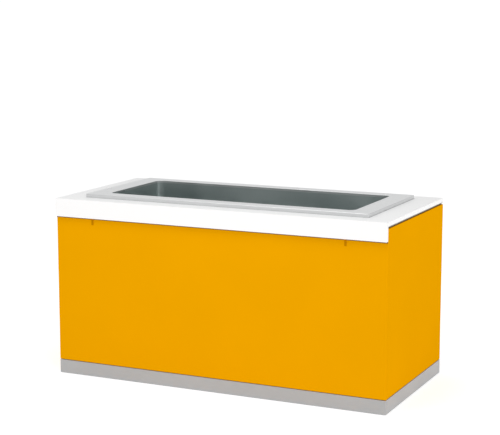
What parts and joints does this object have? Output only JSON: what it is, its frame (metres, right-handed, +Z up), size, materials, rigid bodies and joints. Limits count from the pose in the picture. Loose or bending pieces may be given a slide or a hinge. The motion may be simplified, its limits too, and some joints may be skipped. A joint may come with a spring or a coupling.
{
  "type": "open-top chest freezer counter",
  "caption": "Open-top retail chest freezer: refrigerated stainless drop-in well with a raised rim in a white worktop, on a box counter clad in plain laminate with a plinth and rear doors",
  "frame": {"origin": "on the floor, at the centre of the counter's footprint", "axes": "+Z up; X along the counter; the customer side faces -Y and the operator's doors face +Y; the machine compartment is at +X"},
  "size_m": [1.75, 0.828, 0.918],
  "materials": {
    "white_solid_surface": "honed mineral and acrylic solid surface, satin",
    "amber_laminate": "amber high-pressure laminate on board, fine satin texture",
    "silver_plinth": "brushed silver anodised facing",
    "dark_strip": "matt dark brown foamed strip",
    "frame_grey": "grey powder coat on steel tube",
    "galvanised_steel": "galvanised sheet with a soft spangle",
    "stainless_satin": "satin stainless sheet",
    "stainless_well": "brushed stainless sheet of the well",
    "stainless_bar": "brushed stainless bar",
    "zinc_steel": "bright zinc plated steel",
    "amber_coat": "amber powder coat on steel angle, matched to the laminate",
    "fascia_steel": "brushed stainless fascia sheet",
    "seal_grey": "closed-cell rubber strip",
    "foam_cream": "rigid polyurethane foam",
    "copper": "drawn copper tube",
    "valve_brass": "nickel-free forged brass",
    "lever_red": "red dipped steel lever",
    "pipe_grey": "grey rigid drain pipe",
    "compressor_black": "black enamelled pressed steel",
    "black_plastic": "moulded black plastic, fine grain",
    "black_rubber": "moulded black rubber",
    "fin_aluminium": "thin rolled aluminium fins",
    "fan_aluminium": "pressed aluminium blades",
    "grey_enamel": "light grey powder coated sheet",
    "motor_cast": "black painted casting",
    "shelf_white": "white melamine-faced board",
    "box_grey": "light grey moulded box",
    "window_smoke": "smoked display window",
    "button_grey": "grey moulded keys",
    "rocker_green": "green translucent rocker"
  },
  "bodies": {
    "counter": {"worktop": "white_solid_surface", "worktop_apron": "white_solid_surface", "front_panel": "amber_laminate", "side_panels": "amber_laminate", "shadow_gap_strips": "dark_strip", "apron_brackets": "amber_coat", "plinth_front": "silver_plinth", "plinth_sides": "silver_plinth", "plinth_rear": "silver_plinth", "frame_posts": "frame_grey", "frame_rails": "frame_grey", "levelling_feet": "black_plastic", "floor_tray": "galvanised_steel", "partition": "galvanised_steel", "cupboard_shelf": "shelf_white", "rear_fascia": "fascia_steel", "well_rim": "stainless_satin", "rim_gasket": "seal_grey", "well_liner": "stainless_well", "evaporator_coil": "copper", "well_insulation": "foam_cream", "well_jacket": "galvanised_steel", "drain_fitting": "stainless_well", "drain_valve": "valve_brass", "drain_pipe": "pipe_grey", "unit_base_plate": "galvanised_steel", "compressor_shell": "compressor_black", "compressor_grommets": "black_rubber", "compressor_terminal_cover": "black_plastic", "condenser_fins": "fin_aluminium", "condenser_tubes": "copper", "condenser_shroud": "galvanised_steel", "fan_motor": "motor_cast", "fan_motor_bracket": "zinc_steel", "filter_drier": "copper", "discharge_line": "copper", "liquid_line": "copper", "suction_line": "copper", "electrical_box": "box_grey", "cable_gland": "black_plastic", "controller_housing": "black_plastic", "controller_window": "window_smoke", "switch_housing": "black_plastic", "pivot_brackets": "zinc_steel", "fascia_screws": "stainless_bar"},
    "cupboard_door_left": {"cupboard_door_left": "amber_laminate", "door_handle_left": "stainless_bar"},
    "cupboard_door_right": {"cupboard_door_right": "amber_laminate", "door_handle_right": "stainless_bar"},
    "service_door": {"service_door": "grey_enamel", "door_handle_service": "stainless_bar"},
    "service_latch": {"service_latch": "zinc_steel"},
    "floor_plate_left": {"floor_plate_left": "stainless_well"},
    "floor_plate_right": {"floor_plate_right": "stainless_well"},
    "drain_lever": {"drain_valve_lever": "lever_red"},
    "condenser_fan": {"fan_blade": "fan_aluminium"},
    "button_down": {"button_down": "button_grey"},
    "button_set": {"button_set": "button_grey"},
    "button_up": {"button_up": "button_grey"},
    "switch_rocker": {"switch_rocker": "rocker_green"}
  },
  "joints": [
    {"name": "cupboard_door_left_hinge", "type": "hinge", "parent": "counter", "child": "cupboard_door_left", "pos_m": [-0.8455, 0.375, 0.335], "axis": [0, 0, 1], "range_deg": [0, 95]},
    {"name": "cupboard_door_right_hinge", "type": "hinge", "parent": "counter", "child": "cupboard_door_right", "pos_m": [0.27517, 0.375, 0.335], "axis": [0, 0, -1], "range_deg": [0, 95]},
    {"name": "service_door_hinge", "type": "hinge", "parent": "counter", "child": "service_door", "pos_m": [0.8455, 0.375, 0.335], "axis": [0, 0, -1], "range_deg": [0, 95]},
    {"name": "service_latch_turn", "type": "hinge", "parent": "service_door", "child": "service_latch", "pos_m": [0.33217, 0.36, 0.48], "axis": [0, -1, 0], "range_deg": [0, 90]},
    {"name": "floor_plate_left_lift", "type": "slide", "parent": "counter", "child": "floor_plate_left", "axis": [0, 0, 1], "range_m": [0, 0.3]},
    {"name": "floor_plate_right_lift", "type": "slide", "parent": "counter", "child": "floor_plate_right", "axis": [0, 0, 1], "range_m": [0, 0.3]},
    {"name": "drain_lever_turn", "type": "hinge", "parent": "counter", "child": "drain_lever", "pos_m": [0.215, 0.2, 0.5428], "axis": [0, -1, 0], "range_deg": [0, 90]},
    {"name": "condenser_fan_spin", "type": "hinge", "parent": "counter", "child": "condenser_fan", "pos_m": [0.565, 0.24, 0.2565], "axis": [0, 1, 0], "continuous": true},
    {"name": "button_down_press", "type": "slide", "parent": "counter", "child": "button_down", "axis": [0, -1, 0], "range_m": [0, 0.0008], "stiffness_N_per_m": 400},
    {"name": "button_set_press", "type": "slide", "parent": "counter", "child": "button_set", "axis": [0, -1, 0], "range_m": [0, 0.0008], "stiffness_N_per_m": 400},
    {"name": "button_up_press", "type": "slide", "parent": "counter", "child": "button_up", "axis": [0, -1, 0], "range_m": [0, 0.0008], "stiffness_N_per_m": 400},
    {"name": "switch_rocker_tilt", "type": "hinge", "parent": "counter", "child": "switch_rocker", "pos_m": [0.69, 0.376, 0.76], "axis": [-1, 0, 0], "range_deg": [0, 24]}
  ]
}
